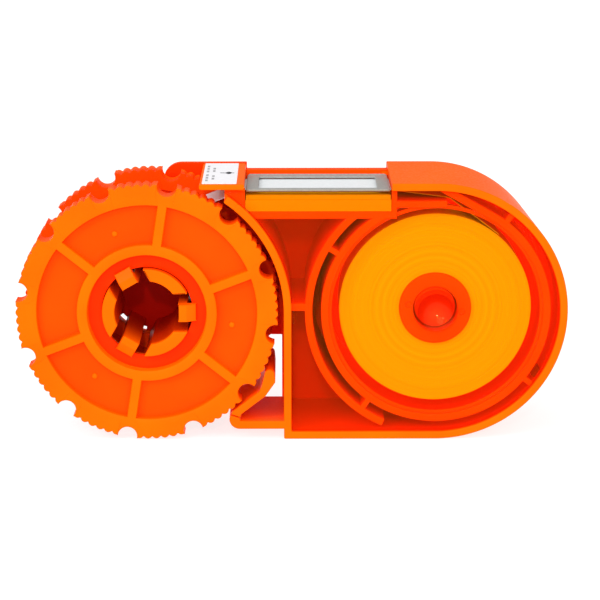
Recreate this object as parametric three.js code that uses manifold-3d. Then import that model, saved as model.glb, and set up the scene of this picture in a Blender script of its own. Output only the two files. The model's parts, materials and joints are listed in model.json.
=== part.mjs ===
// Hand-wound tape cassette: a D-shaped housing holds a supply roll behind a clear cover, the tape
// crosses a window on top, and a thumb-turned reel on a split spindle winds it up again.
// Millimetres, +Z up, the front faces -Y. The origin is the middle of the footprint, on the ground.
import * as THREE from 'three';
import { mergeVertices } from 'three/addons/utils/BufferGeometryUtils.js';
import Module from 'manifold-3d';

const wasm = await Module();
wasm.setup();

// Driving dimensions
const depth = 36.4;              // front to back
const wall = 2.2;                // moulded wall thickness
const gap = 0.3;                 // clearance between neighbouring pieces
const lobeRadius = 38.35;        // outside of the round end
const lobeDraft = 2.2;           // the round end is this much further in at the back
const axisHeight = 38.35;        // both axes lie at this height
const axisSpacing = 84.4;
const tipRadius = 38.2;          // reel, over the tooth tips
const rollX = (axisSpacing + tipRadius - lobeRadius) / 2;
const reelX = rollX - axisSpacing;

const toothHeight = 0.7;
const notchCount = 12;           // thumb notches round each flange
const notchRadius = 2.85;
const notchFloor = 35.1;         // reel radius at the bottom of a notch
const notchPhase = 20.3;         // degrees, first notch
const teethPerStep = 6;          // teeth between two notches
const toothPitch = 3.87;         // degrees
const firstTooth = 5.35;         // degrees from the notch centre

const rimThick = 6.4;            // toothed rim of a flange
const rimInner = 32.1;
const hubOuter = 20.4;
const hubInner = 17.4;
const panelRecess = 2.0;
const webThick = 2.2;
const spokeWidth = 2.8;
const spokeCount = 6;
const spokePhase = 21;
const boreRadius = 13.3;
const ledgeFrom = 2.8;           // hub ledge that the hooks hold
const rearRim = 24.0;            // where the rear flange starts
const reelBack = 30.4;
const drumOuter = 20.1;

const tapeFrom = 6.8;            // the tape's front edge
const tapeTo = 23.4;
const tapeThick = 0.25;
const windingRadius = 21.3;      // tape on the take-up drum
const rollRadius = 28.2;         // tape on the supply core
const coreOuter = 10.6;
const coreInner = 6.5;
const corePost = 6.1;            // post of the housing that the core turns on
const postFrom = 7.6;
const coreFrom = 5.6;
const coreTo = 24.4;

const segmentInner = 9.5;        // spindle segments
const segmentOuter = 12.9;
const spindleFrom = 0.4;
const spindleBase = 30.7;
const channelWidth = 11.3;       // slot in the spindle round each hook
const hookWidth = 5.1;
const hookThick = 2.2;
const barbRadius = 14.2;
const eyeInner = 12.2;           // windows behind the hooks, left by the mould
const eyeOuter = 14.5;
const hookCount = 3;

const plateFrom = depth - wall;  // back plate
const bayFloor = 25.9;           // raised floor behind the roll
const guardInner = 39.9;         // wall round the reel's right side
const guardOuter = guardInner + wall;
const guardEnd = 55.5;           // degrees
const wallLeft = reelX + guardInner;
const wallRight = reelX + guardOuter;
const ringInner = 31.4;          // wall round the roll
const ringOuter = ringInner + wall;
const arcInner = lobeRadius - wall;
const hoodTop = 2 * axisHeight;
const hoodLeft = 28.8;
const deckTop = hoodTop - 2.0;   // window platform
const pocketFloor = 68.15;
const pocketLeft = -13.5;
const pocketBack = 26.7;
const pocketWall = 1.6;
const railTop = 75.9;            // wall behind the window
const postLeft = -19.4;          // post in front of the tape's edge
const postTo = 6.0;
const gateBottom = 69.6;         // the tape leaves the pocket above this
const shelfBottom = 66.0;
const guideBottom = 69.2;        // rib that the tape slides over behind the window
const coverFrom = 0.4;
const coverThick = 1.4;
const innerFrom = 2.1;           // walls behind the cover start here
const bridgeLeft = -26.7;
const bridgeRight = -13.65;
const bridgeThick = 1.8;
const pawlDepth = 25.6;
const pawlGapTop = 22.8;         // opening of the back plate behind the pawl
const pawlGapLeft = -16;
const clipAngle = 200;           // leader clip on the drum

// What lies in the pocket below the window, from the top down
const blockLeft = pocketLeft + gap;
const blockRight = hoodLeft - gap;
const frameBottom = deckTop - 0.65;
const tapeLevel = frameBottom - gap - tapeThick / 2;
const padTop = tapeLevel - tapeThick / 2 - gap;
const padBottom = padTop - 1.5;
const labelThick = 0.15;
const windowLeft = -9.7;         // opening of the window frame
const windowRight = 24.8;
const windowFront = 4.6;
const windowBack = 22.4;

const radians = (degrees) => degrees * Math.PI / 180;
const polar = (radius, degrees, x = 0, z = 0) =>
  new THREE.Vector2(x + radius * Math.cos(radians(degrees)), z + radius * Math.sin(radians(degrees)));

// Solids: an outline in the X-Z plane carried from one depth to another, behind the front face
function carry(shape, from, to, segments = 16) {
  const geometry = new THREE.ExtrudeGeometry(shape, {
    depth: to - from, bevelEnabled: false, curveSegments: segments,
  });
  return solid(geometry.rotateX(Math.PI / 2).translate(0, to - depth / 2, 0));
}

function solid(geometry) {
  geometry.deleteAttribute('normal');
  geometry.deleteAttribute('uv');
  const merged = mergeVertices(geometry, 1e-5);
  return new wasm.Manifold(new wasm.Mesh({
    numProp: 3,
    vertProperties: merged.attributes.position.array,
    triVerts: new Uint32Array(merged.index.array),
  }));
}

const join = (...pieces) => pieces.reduce((whole, piece) => whole.add(piece));
const cut = (whole, ...tools) => tools.reduce((rest, tool) => rest.subtract(tool), whole);

function named(name, piece, material) {
  const mesh = piece.getMesh();
  const geometry = new THREE.BufferGeometry();
  geometry.setAttribute('position', new THREE.BufferAttribute(new Float32Array(mesh.vertProperties), 3));
  geometry.setIndex(new THREE.BufferAttribute(new Uint32Array(mesh.triVerts), 1));
  geometry.computeVertexNormals();
  const result = new THREE.Mesh(geometry, material);
  result.name = name;
  return result;
}

// Outlines
function box(left, bottom, right, top) {
  return new THREE.Shape([
    new THREE.Vector2(left, bottom), new THREE.Vector2(right, bottom),
    new THREE.Vector2(right, top), new THREE.Vector2(left, top),
  ]);
}

function disc(radius, x = 0, z = 0) {
  return new THREE.Shape().absarc(x, z, radius, 0, 2 * Math.PI, false);
}

function ring(inner, outer, x = 0, z = 0) {
  const shape = disc(outer, x, z);
  shape.holes.push(new THREE.Path().absarc(x, z, inner, 0, 2 * Math.PI, true));
  return shape;
}

function sector(inner, outer, start, end, x = 0, z = 0) {
  const shape = new THREE.Shape();
  shape.absarc(x, z, outer, radians(start), radians(end), false);
  shape.absarc(x, z, inner, radians(end), radians(start), true);
  shape.closePath();
  return shape;
}

// A straight bar along a ray from (x, z), from one radius to another
function spoke(width, inner, outer, degrees, x = 0, z = 0) {
  const along = polar(1, degrees);
  const across = polar(width / 2, degrees + 90);
  const centre = new THREE.Vector2(x, z);
  const corner = (radius, side) =>
    centre.clone().addScaledVector(along, radius).addScaledVector(across, side);
  return new THREE.Shape([corner(inner, -1), corner(outer, -1), corner(outer, 1), corner(inner, 1)]);
}

// A strip of one thickness along a line of points
function strip(points, thickness) {
  const sides = [[], []];
  points.forEach((point, index) => {
    const before = points[Math.max(index - 1, 0)];
    const after = points[Math.min(index + 1, points.length - 1)];
    const run = after.clone().sub(before).normalize();
    const out = new THREE.Vector2(-run.y, run.x).multiplyScalar(thickness / 2);
    sides[0].push(point.clone().add(out));
    sides[1].unshift(point.clone().sub(out));
  });
  return new THREE.Shape([...sides[0], ...sides[1]].reverse());
}

// Flange outline: twelve round thumb notches with six small teeth between each two
function flangeOutline() {
  const points = [];
  const step = 360 / notchCount;
  const centreRadius = notchFloor + notchRadius;
  for (let notch = 0; notch < notchCount; notch += 1) {
    const at = notchPhase + notch * step;
    const centre = polar(centreRadius, at);
    for (let turn = 95; turn >= -95; turn -= 38) {
      points.push(polar(notchRadius, at + 180 + turn, centre.x, centre.y));
    }
    for (let tooth = 0; tooth < teethPerStep; tooth += 1) {
      const middle = at + firstTooth + tooth * toothPitch;
      if (tooth > 0) points.push(polar(tipRadius - toothHeight, middle - 1.5));
      points.push(polar(tipRadius, middle - 0.6), polar(tipRadius, middle + 0.6));
      if (tooth < teethPerStep - 1) points.push(polar(tipRadius - toothHeight, middle + 1.5));
    }
  }
  return new THREE.Shape(points);
}

const orange = new THREE.MeshStandardMaterial({ color: 0xff6a05, roughness: 0.35, metalness: 0 });
const clearOrange = new THREE.MeshStandardMaterial({
  color: 0xff5a00, roughness: 0.08, metalness: 0, transparent: true, opacity: 0.35,
});
const white = new THREE.MeshStandardMaterial({ color: 0xf2efe8, roughness: 0.8, metalness: 0 });
const grey = new THREE.MeshStandardMaterial({ color: 0x96968f, roughness: 0.45, metalness: 0 });
const foam = new THREE.MeshStandardMaterial({ color: 0xe4e0d8, roughness: 0.95, metalness: 0 });
const paper = new THREE.MeshStandardMaterial({ color: 0xe9e7e9, roughness: 0.6, metalness: 0 });
const felt = new THREE.MeshStandardMaterial({ color: 0x6f6a64, roughness: 1, metalness: 0 });

// Panels between the spokes, on the outer face of a flange
function panels(from, to) {
  const bars = Array.from({ length: spokeCount }, (_, index) => {
    const at = spokePhase + index * 360 / spokeCount;
    return carry(spoke(spokeWidth, hubOuter - 1, rimInner + 1, at), from - 1, to + 1);
  });
  return cut(carry(ring(hubOuter, rimInner), from, to), ...bars);
}

function reelFrontFlange() {
  const blank = carry(flangeOutline(), 0, rimThick);
  const pips = [0, 1, 2].map((index) => {
    const at = polar(25, 111 + index * 120);
    return carry(disc(0.8, at.x, at.y), panelRecess - 0.5, panelRecess + 0.5, 4);
  });
  const body = cut(
    blank,
    panels(-1, panelRecess),
    carry(ring(hubOuter, rimInner), panelRecess + webThick, rimThick + 1),
    carry(disc(hubInner), -1, ledgeFrom),
    carry(disc(hubInner), ledgeFrom + webThick, rimThick + 1),
    carry(disc(boreRadius), -1, rimThick + 1),
  );
  return named('reel_front_flange', join(body, ...pips), orange);
}

function reelRearFlange() {
  const webFrom = reelBack - panelRecess - webThick;
  const drum = carry(ring(hubInner, drumOuter), rimThick + gap, webFrom + 1);
  const body = cut(
    carry(flangeOutline(), rearRim, reelBack),
    panels(reelBack - panelRecess, reelBack + 1),
    carry(disc(rimInner), rearRim - 1, webFrom),
    carry(disc(boreRadius), rearRim - 1, reelBack + 1),
  );
  const slot = carry(spoke(3.4, drumOuter - 1.4, drumOuter + 1, clipAngle), tapeFrom, tapeTo);
  return named('reel_rear_flange', cut(join(drum, body), slot), orange);
}

// The tape's start is pinched in a slot of the drum by a small bar
function leaderClip() {
  const bar = carry(spoke(2.8, drumOuter - 1.1, drumOuter, clipAngle), tapeFrom + gap, tapeTo - gap);
  return named('leader_clip', bar, grey);
}

function takeupWinding() {
  return named('takeup_winding', carry(ring(drumOuter + gap, windingRadius), tapeFrom, tapeTo, 20), white);
}

// Spindle: a closed base that carries three wide segments, with a snap hook between each two
function spindleBasePlate() {
  const base = cut(
    carry(disc(hubInner), spindleBase, plateFrom - gap),
    ...hookAngles().map((at) =>
      carry(sector(eyeInner, eyeOuter, at - 20, at + 20), spindleBase - 1, plateFrom)),
  );
  return named('spindle_base', base, orange);
}

function spindleSegment(index) {
  const tube = carry(ring(segmentInner, segmentOuter), spindleFrom, spindleBase - gap, 30);
  const at = 180 / hookCount + hookAngles()[index];
  const slots = [at - 180 / hookCount, at + 180 / hookCount].map((side) =>
    carry(spoke(channelWidth, 0, segmentOuter + 2, side), spindleFrom - 1, spindleBase));
  const wedge = carry(sector(1, segmentOuter + 2, at - 60, at + 60), spindleFrom - 1, spindleBase);
  return named(`spindle_segment_${index + 1}`, cut(tube.intersect(wedge), ...slots), orange);
}

function hookAngles() {
  return Array.from({ length: hookCount }, (_, index) => index * 360 / hookCount);
}

// One snap hook, drawn along +X: a flat finger with a bevelled barb at its front end
function snapHook(index) {
  const inner = segmentInner - 0.2;
  const outer = inner + hookThick;
  const profile = new THREE.Shape([
    new THREE.Vector2(inner, spindleBase - gap), new THREE.Vector2(inner, spindleFrom),
    new THREE.Vector2(outer, spindleFrom), new THREE.Vector2(barbRadius, 1.9),
    new THREE.Vector2(barbRadius, ledgeFrom - gap), new THREE.Vector2(outer, ledgeFrom - gap),
    new THREE.Vector2(outer, spindleBase - gap),
  ]);
  const geometry = new THREE.ExtrudeGeometry(profile, { depth: hookWidth, bevelEnabled: false });
  geometry.translate(0, -depth / 2, -hookWidth / 2);
  const hook = named(`snap_hook_${index + 1}`, solid(geometry), orange);
  hook.rotation.y = -radians(hookAngles()[index]);
  return hook;
}

// Back plate: a disc behind the reel, the round end, and what joins them
function backPlate() {
  const corner = 5.5;
  const left = reelX + 3.5;
  const shoulder = new THREE.Shape();
  shoulder.moveTo(left, axisHeight);
  shoulder.lineTo(pocketLeft, axisHeight);
  shoulder.lineTo(pocketLeft, hoodTop);
  shoulder.lineTo(left + corner, hoodTop);
  shoulder.absarc(left + corner, hoodTop - corner, corner, Math.PI / 2, Math.PI, false);
  shoulder.closePath();
  const lobe = new THREE.Shape();
  lobe.moveTo(wallLeft, 0);
  lobe.lineTo(rollX, 0);
  lobe.absarc(rollX, axisHeight, lobeRadius, -Math.PI / 2, Math.PI / 2, false);
  lobe.lineTo(hoodLeft, hoodTop);
  lobe.lineTo(hoodLeft, deckTop);
  lobe.lineTo(wallLeft, deckTop);
  lobe.closePath();
  const plate = join(
    carry(disc(31.6, reelX, axisHeight), plateFrom, depth, 24),
    carry(shoulder, plateFrom, depth),
    carry(box(pawlGapLeft - 4, pawlGapTop, wallRight, axisHeight + 1), plateFrom, depth),
    carry(box(pocketLeft - 1, axisHeight, wallRight, deckTop), plateFrom, depth),
    carry(lobe, plateFrom, depth, 20),
  );
  return cut(
    plate,
    carry(box(pawlGapLeft, -1, wallLeft - 0.6, pawlGapTop), plateFrom - 1, depth + 1),
    carry(disc(ringInner, rollX, axisHeight), plateFrom - 1, depth + 1, 24),
    ...hookAngles().map((at) => {
      const window = sector(eyeInner, eyeOuter, at - 20, at + 20, reelX, axisHeight);
      return carry(window, plateFrom - 1, depth + 1);
    }),
  );
}

// Outer walls: the D-shaped rim, the guard round the reel and the pocket below the window
function outerWalls() {
  const rear = plateFrom + 0.5;
  return join(
    carry(box(wallLeft, 0, wallRight, axisHeight), 0, rear),
    carry(sector(guardInner, guardOuter, -1, guardEnd, reelX, axisHeight), 0, rear, 10),
    carry(box(wallLeft, 0, rollX, wall), 0, rear),
    carry(sector(arcInner, lobeRadius, -90, 90, rollX, axisHeight), 0, rear, 20),
    carry(box(hoodLeft, hoodTop - wall, rollX, hoodTop), 0, rear),
    carry(box(hoodLeft, shelfBottom, hoodLeft + pocketWall, hoodTop - wall), innerFrom, rear),
    carry(box(-12.2, shelfBottom, hoodLeft + 1, pocketFloor), innerFrom, rear),
    carry(box(postLeft, shelfBottom, pocketLeft, deckTop - 0.2), innerFrom, postTo),
    carry(box(postLeft, shelfBottom, pocketLeft, gateBottom + 1), innerFrom, rear),
    carry(box(postLeft, deckTop - wall, hoodLeft + 1, deckTop - 0.8), pocketBack, rear),
    carry(box(pocketLeft, pocketFloor - 1, hoodLeft + 1, railTop), pocketBack, pocketBack + pocketWall),
  );
}

// Inner walls: the ring round the roll with its tape guide, the outer arc and the ribs
function innerWalls() {
  const rear = plateFrom + 0.5;
  const leave = 60.6;
  const middle = (ringInner + ringOuter) / 2;
  const foot = polar(middle, leave, rollX, axisHeight);
  const head = foot.clone().add(polar(17.2, leave + 90));
  const guide = strip([foot, head], wall);
  const ribs = [[149, arcInner + 1], [234, arcInner + 1], [-38, arcInner + 1], [53, arcInner + 1]];
  return join(
    carry(sector(ringInner, ringOuter, 115, 360 + leave, rollX, axisHeight), innerFrom, rear, 24),
    carry(guide, innerFrom, rear),
    carry(sector(arcInner, lobeRadius, 128, 246, rollX, axisHeight), innerFrom, rear, 14),
    ...ribs.map(([at, outer]) =>
      carry(spoke(1.6, ringOuter - 0.6, outer, at, rollX, axisHeight), innerFrom, rear)),
    carry(box(wallRight - 0.5, axisHeight + 0.2, rollX - lobeRadius + 0.6, axisHeight + wall + 0.2),
      innerFrom, rear),
    carry(box(hoodLeft + 1, guideBottom, 44.9, guideBottom + 2.0), innerFrom, rear),
    carry(disc(ringOuter - 0.5, rollX, axisHeight), bayFloor, bayFloor + wall, 24),
    carry(disc(corePost, rollX, axisHeight), postFrom, bayFloor + 0.5, 12),
  );
}

// Fixed foot of the pawl: a bar along the bottom with a rounded end
function pawlFoot() {
  const shape = new THREE.Shape();
  shape.moveTo(wallLeft + 0.5, 3.1);
  shape.lineTo(wallLeft + 0.5, 5.5);
  shape.lineTo(-15.2, 5.5);
  shape.lineTo(-15.4, 6.4);
  shape.lineTo(-18.1, 7.3);
  shape.lineTo(-18.5, 6.1);
  shape.absarc(-15.5, 6.1, 3.0, Math.PI, 1.5 * Math.PI, false);
  shape.closePath();
  return carry(shape, 0, pawlDepth, 4);
}

function frameShell() {
  const tapeSlot = carry(box(hoodLeft - 1, guideBottom + 2.1, hoodLeft + wall + 1, hoodTop - wall),
    tapeFrom - 1, tapeTo + 1);
  const reelSpace = carry(disc(guardInner, reelX, axisHeight), -1, plateFrom, 32);
  const tapeGate = carry(box(postLeft - 2.2, gateBottom, pocketLeft, hoodTop),
    tapeFrom - gap, tapeTo + gap);
  const pocketSpace = carry(box(pocketLeft, pocketFloor, hoodLeft, hoodTop + 1), -1, pocketBack);
  const walls = join(backPlate(), outerWalls(), innerWalls());
  const shell = cut(walls, tapeSlot, tapeGate, reelSpace, pocketSpace);
  const mesh = named('frame_shell', join(shell, pawlFoot()), orange);
  draftRoundEnd(mesh.geometry);
  return mesh;
}

// The round end draws in towards the back: most at its right side, nothing at its top and bottom
function draftRoundEnd(geometry) {
  const place = geometry.attributes.position;
  for (let index = 0; index < place.count; index += 1) {
    const x = place.getX(index) - rollX;
    const z = place.getZ(index) - axisHeight;
    const radius = Math.hypot(x, z);
    if (x > 0 && radius > ringOuter) {
      const share = Math.min((radius - ringOuter) / (arcInner - ringOuter), 1);
      const back = (place.getY(index) + depth / 2) / depth;
      const inset = lobeDraft * share * back * (x / radius) ** 2;
      place.setX(index, place.getX(index) - inset * x / radius);
      place.setZ(index, place.getZ(index) - inset * z / radius);
    }
  }
  geometry.computeVertexNormals();
}

// Ratchet pawl: a springy arm that rises from the foot and rests by the reel's teeth
function pawlArm() {
  const shape = new THREE.Shape();
  shape.moveTo(-18.0, 7.65);
  shape.lineTo(-17.6, 8.4);
  shape.lineTo(-9.6, 14.6);
  shape.lineTo(-8.9, 16.4);
  shape.lineTo(-8.1, 19.6);
  shape.absarc(-6.6, 19.7, 1.5, Math.PI, 0, true);
  shape.lineTo(-4.9, 17.4);
  shape.lineTo(-7.8, 13.2);
  shape.lineTo(-15.0, 7.6);
  shape.lineTo(-15.2, 6.7);
  shape.closePath();
  return named('pawl_arm', carry(shape, 0, pawlDepth, 4), orange);
}

// Clear cover, let into the rim, with a dimple over the core and three snap clips behind
function frontCover() {
  const clear = 0.25;
  const top = hoodTop - wall - clear;
  const rise = top - axisHeight;
  const reach = guardOuter + clear;
  const turn = Math.asin(rise / reach);
  const shape = new THREE.Shape();
  shape.moveTo(reelX + reach, wall + clear);
  shape.lineTo(rollX, wall + clear);
  shape.absarc(rollX, axisHeight, arcInner - clear, -Math.PI / 2, Math.PI / 2, false);
  shape.absarc(reelX, axisHeight, reach, turn, 0, true);
  shape.closePath();
  const sheet = carry(shape, coverFrom, coverFrom + coverThick, 20);
  const cup = lathe([[0, 0.9], [6.8, 0.9], [5.9, 1.4], [3.4, 5.2], [0, 5.2]]);
  const hollow = lathe([[0, coverFrom - 0.1], [5.8, coverFrom - 0.1], [2.8, 3.9], [0, 3.9]]);
  const clips = [[34.9, 47], [34.9, -32]].map(([radius, at]) => {
    const place = polar(radius, at, rollX, axisHeight);
    return carry(spoke(3, -0.5, 0.5, at, place.x, place.y), coverFrom + 1, 8);
  });
  const sideClip = carry(box(wallRight + gap, 34.8, wallRight + gap + 1, 37.8), coverFrom + 1, 8);
  return named('front_cover', cut(join(sheet, cup, ...clips, sideClip), hollow), clearOrange);
}

// A turned solid about the roll axis, its profile given as radius and depth
function lathe(profile) {
  const points = profile.map(([radius, at]) => new THREE.Vector2(radius, at));
  points.push(points[0].clone());
  const geometry = new THREE.LatheGeometry(points, 32);
  geometry.translate(rollX, -depth / 2, axisHeight);
  return solid(geometry);
}

function supplyCore() {
  const marks = [172, -8].map((at) => {
    const place = polar(7.9, at);
    return carry(disc(0.9, place.x, place.y), coreFrom - 1, coreFrom + 0.4, 4);
  });
  const tube = carry(ring(coreInner, coreOuter), coreFrom, coreTo);
  return named('supply_core', cut(tube, ...marks), orange);
}

function supplyRoll() {
  return named('supply_roll', carry(ring(coreOuter + gap, rollRadius), tapeFrom, tapeTo, 24), white);
}

function dragWasher() {
  const outline = ring(coreInner, coreOuter - 0.6, rollX, axisHeight);
  return named('drag_washer', carry(outline, coreTo + gap, bayFloor - gap), felt);
}

// Platen block, foam pad and window frame lie in the pocket
function platenBlock() {
  const block = carry(box(blockLeft, pocketFloor + gap, blockRight, padBottom - 0.1),
    innerFrom, pocketBack - gap);
  return named('platen_block', block, white);
}

function foamPad() {
  const pad = carry(box(blockLeft, padBottom, blockRight, padTop), innerFrom, pocketBack - gap);
  return named('foam_pad', pad, foam);
}

function windowFrame() {
  const lip = 0.9;
  const shape = new THREE.Shape([
    new THREE.Vector2(blockLeft, frameBottom - 0.2), new THREE.Vector2(blockLeft + 0.7, frameBottom),
    new THREE.Vector2(blockRight - 0.7, frameBottom), new THREE.Vector2(blockRight, frameBottom - 0.2),
    new THREE.Vector2(blockRight, deckTop - 0.5), new THREE.Vector2(blockRight - lip, deckTop),
    new THREE.Vector2(blockLeft + lip, deckTop), new THREE.Vector2(blockLeft, deckTop - 0.5),
  ]);
  const sheet = carry(shape, innerFrom, pocketBack - gap);
  const opening = carry(box(windowLeft, frameBottom - 1, windowRight, deckTop + 1), windowFront, windowBack);
  return named('window_frame', cut(sheet, opening), grey);
}

// The tape from the roll, over the pad and under the bridge, down to the far side of the drum
function tapeRun() {
  const over = (x, z) => new THREE.Vector2(x, z);
  const off = rollRadius + gap + tapeThick / 2;
  const points = [
    polar(off, 50, rollX, axisHeight), polar(off, 53, rollX, axisHeight),
    over(46.2, 71.1), over(45.0, 71.45), over(44.0, 71.6), over(29.0, tapeLevel - 0.05),
    over(27.6, tapeLevel), over(-13.4, tapeLevel), over(-14.4, tapeLevel - 0.15),
    ...[112.6, 116, 120].map((at) => polar(windingRadius + gap + tapeThick, at, reelX, axisHeight)),
  ];
  return named('tape_run', carry(strip(points, tapeThick), tapeFrom + 0.1, tapeTo - 0.1), white);
}

function bridgePlate() {
  const corner = 0.7;
  const bottom = hoodTop - bridgeThick;
  const shape = new THREE.Shape();
  shape.moveTo(bridgeLeft, bottom);
  shape.lineTo(bridgeRight, bottom);
  shape.absarc(bridgeRight - corner, hoodTop - corner, corner, 0, Math.PI / 2, false);
  shape.absarc(bridgeLeft + corner, hoodTop - corner, corner, Math.PI / 2, Math.PI, false);
  shape.closePath();
  const rear = plateFrom - gap;
  const tongue = carry(box(bridgeLeft, bottom - 4.5, bridgeLeft + 7, bottom + 0.5), rear - 1.8, rear);
  const plate = cut(carry(shape, 0, rear, 4), labelSheet(labelThick + gap, 0));
  return named('bridge_plate', join(plate, tongue), orange);
}

// The label lies in a shallow recess of the bridge, flush with its top
function labelSheet(sunk, margin) {
  const left = bridgeLeft + 0.5 + margin;
  const right = bridgeRight - 1.95 - margin;
  const front = 0.6 + margin;
  const rear = plateFrom - gap - 0.4 - margin;
  return carry(box(left, hoodTop - sunk, right, hoodTop + sunk - labelThick), front, rear);
}

function directionLabel() {
  return named('direction_label', labelSheet(labelThick, gap), paper);
}

const cassette = new THREE.Group();

const reel = new THREE.Group();
reel.position.set(reelX, 0, axisHeight);
reel.add(reelFrontFlange(), reelRearFlange(), leaderClip(), takeupWinding(), spindleBasePlate());
for (let index = 0; index < hookCount; index += 1) reel.add(spindleSegment(index), snapHook(index));

const supply = new THREE.Group();
supply.position.set(rollX, 0, axisHeight);
supply.add(supplyCore(), supplyRoll());

cassette.add(
  frameShell(), pawlArm(), frontCover(), dragWasher(), platenBlock(), foamPad(), windowFrame(),
  tapeRun(), bridgePlate(), directionLabel(), reel, supply,
);

export default cassette;
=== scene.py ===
# Looks of the hand-wound tape cassette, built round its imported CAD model.
# Shapes are worked out in millimetres as (x, depth behind the front face, z) and put into meshes in metres.
import json
import math

import bpy
import numpy as np
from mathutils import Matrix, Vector
from mathutils.geometry import tessellate_polygon


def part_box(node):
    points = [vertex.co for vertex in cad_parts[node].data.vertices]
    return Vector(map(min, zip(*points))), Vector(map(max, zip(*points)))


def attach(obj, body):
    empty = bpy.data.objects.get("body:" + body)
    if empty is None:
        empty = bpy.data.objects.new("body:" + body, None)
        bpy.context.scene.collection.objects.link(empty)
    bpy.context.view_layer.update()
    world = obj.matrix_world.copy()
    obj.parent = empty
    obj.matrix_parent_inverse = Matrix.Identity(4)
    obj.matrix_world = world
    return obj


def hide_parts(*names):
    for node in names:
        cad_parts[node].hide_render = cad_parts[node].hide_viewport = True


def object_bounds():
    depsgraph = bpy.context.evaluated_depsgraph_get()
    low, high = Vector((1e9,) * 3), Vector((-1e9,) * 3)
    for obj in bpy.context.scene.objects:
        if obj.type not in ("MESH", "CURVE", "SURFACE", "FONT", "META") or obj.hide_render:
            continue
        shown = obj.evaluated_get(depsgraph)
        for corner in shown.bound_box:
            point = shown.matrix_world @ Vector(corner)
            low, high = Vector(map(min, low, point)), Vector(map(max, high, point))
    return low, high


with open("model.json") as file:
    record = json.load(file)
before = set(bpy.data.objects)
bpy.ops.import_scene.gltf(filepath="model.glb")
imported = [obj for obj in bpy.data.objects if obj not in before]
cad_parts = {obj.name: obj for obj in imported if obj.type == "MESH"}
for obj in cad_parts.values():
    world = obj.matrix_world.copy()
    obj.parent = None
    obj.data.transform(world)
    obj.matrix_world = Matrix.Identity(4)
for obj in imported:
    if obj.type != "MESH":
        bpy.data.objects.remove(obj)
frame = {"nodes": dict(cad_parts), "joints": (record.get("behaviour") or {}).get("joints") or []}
cadBox = [list(corner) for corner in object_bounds()]
scene = bpy.context.scene
joints = {joint["name"]: joint for joint in frame["joints"]}


def spanOf(node):  # lowest and highest corner of a CAD node in millimetres, depth counted from the front
    low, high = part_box(node)
    return [np.array([p.x, p.y - cadBox[0][1], p.z]) * 1000 for p in (low, high)]


def axisOf(joint):  # (x, z) of a joint that turns about the depth direction
    x, _, z = joints[joint]["pos_m"]
    return np.array([x, z]) * 1000


frontY = cadBox[0][1] * 1000
reelAt = axisOf("reel_spin")
rollAt = axisOf("supply_spin")
shellLow, shellHigh = spanOf("frame_shell")
hoodTop = float(spanOf("bridge_plate")[1][2])
lobeOuter = float(shellHigh[0] - rollAt[0])  # outside radius of the round end
wall = 2.2
backFace = float(shellHigh[1])
plateFrom = backFace - wall
print("frame read: depth", round(backFace, 2), "lobe", round(lobeOuter, 2))


# Outlines lie in the x-z plane and run anticlockwise as seen from the front
def arc(centre, radius, start, end, step=2.5):  # centre + radius (cos a, sin a), a from start to end degrees
    count = max(2, int(abs(end - start) / step) + 1)
    a = np.radians(np.linspace(start, end, count))
    return np.stack([centre[0] + radius * np.cos(a), centre[1] + radius * np.sin(a)], 1)


def polar(centre, radius, degrees):
    return arc(centre, radius, degrees, degrees)[0]


def line(*corners):
    return np.array(corners, float)


def outlineOf(*parts):  # one closed outline from several runs of points, repeated points dropped
    points = np.concatenate([np.atleast_2d(part) for part in parts])
    keep = np.linalg.norm(points - np.roll(points, 1, 0), axis=1) > 1e-4
    return points[keep]


def rect(left, bottom, right, top):
    return line((left, bottom), (right, bottom), (right, top), (left, top))


def circle(centre, radius, step=2.5):
    return arc(centre, radius, 0, 360, step)[:-1]


def sector(centre, inner, outer, start, end, step=2.5):
    return outlineOf(arc(centre, outer, start, end, step), arc(centre, inner, end, start, step))


def bar(centre, width, inner, outer, degrees):  # straight bar along a ray, from one radius to another
    along = polar((0, 0), 1, degrees)
    across = np.array([-along[1], along[0]]) * width / 2
    a, b = centre + along * inner, centre + along * outer
    return line(a - across, b - across, b + across, a + across)


def stripOutline(points, thickness):  # a line of points widened to both sides
    run = np.gradient(points, axis=0)
    run /= np.linalg.norm(run, axis=1, keepdims=True)
    side = np.stack([run[:, 1], -run[:, 0]], 1) * thickness / 2
    return outlineOf(points + side, (points - side)[::-1])


# Rounds corners: a corner V becomes (1-s)^2 P + 2s(1-s) V + s^2 Q, with P and Q at radius tan(turn / 2)
# back along its edges
def softened(outline, radius, steps=4):
    before = outline - np.roll(outline, 1, 0)
    after = np.roll(outline, -1, 0) - outline
    lengthBefore = np.linalg.norm(before, axis=1, keepdims=True)
    lengthAfter = np.linalg.norm(after, axis=1, keepdims=True)
    before, after = before / lengthBefore, after / lengthAfter
    turn = np.arccos(np.clip(np.sum(before * after, 1, keepdims=True), -1, 1))
    reach = np.where(turn > math.radians(22), radius * np.tan(turn / 2), 0)
    reach = np.minimum(reach, 0.45 * np.minimum(lengthBefore, lengthAfter))
    s = np.linspace(0, 1, steps + 1)[None, :, None]
    p, q, v = (outline - before * reach)[:, None], (outline + after * reach)[:, None], outline[:, None]
    curve = (1 - s) ** 2 * p + 2 * s * (1 - s) * v + s ** 2 * q
    keep = (reach > 0) | (np.arange(steps + 1) == 0)[None, :]
    return curve[keep]


# Moves a closed outline outwards: each point goes along the sum of its edges' normals over 1 + their product
def shifted(outline, amount):
    ahead = np.roll(outline, -1, 0) - outline
    normal = np.stack([ahead[:, 1], -ahead[:, 0]], 1)
    normal /= np.linalg.norm(normal, axis=1, keepdims=True)
    other = np.roll(normal, 1, 0)
    scale = np.maximum(1 + np.sum(normal * other, 1, keepdims=True), 0.35)
    return outline + amount * (normal + other) / scale


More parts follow.
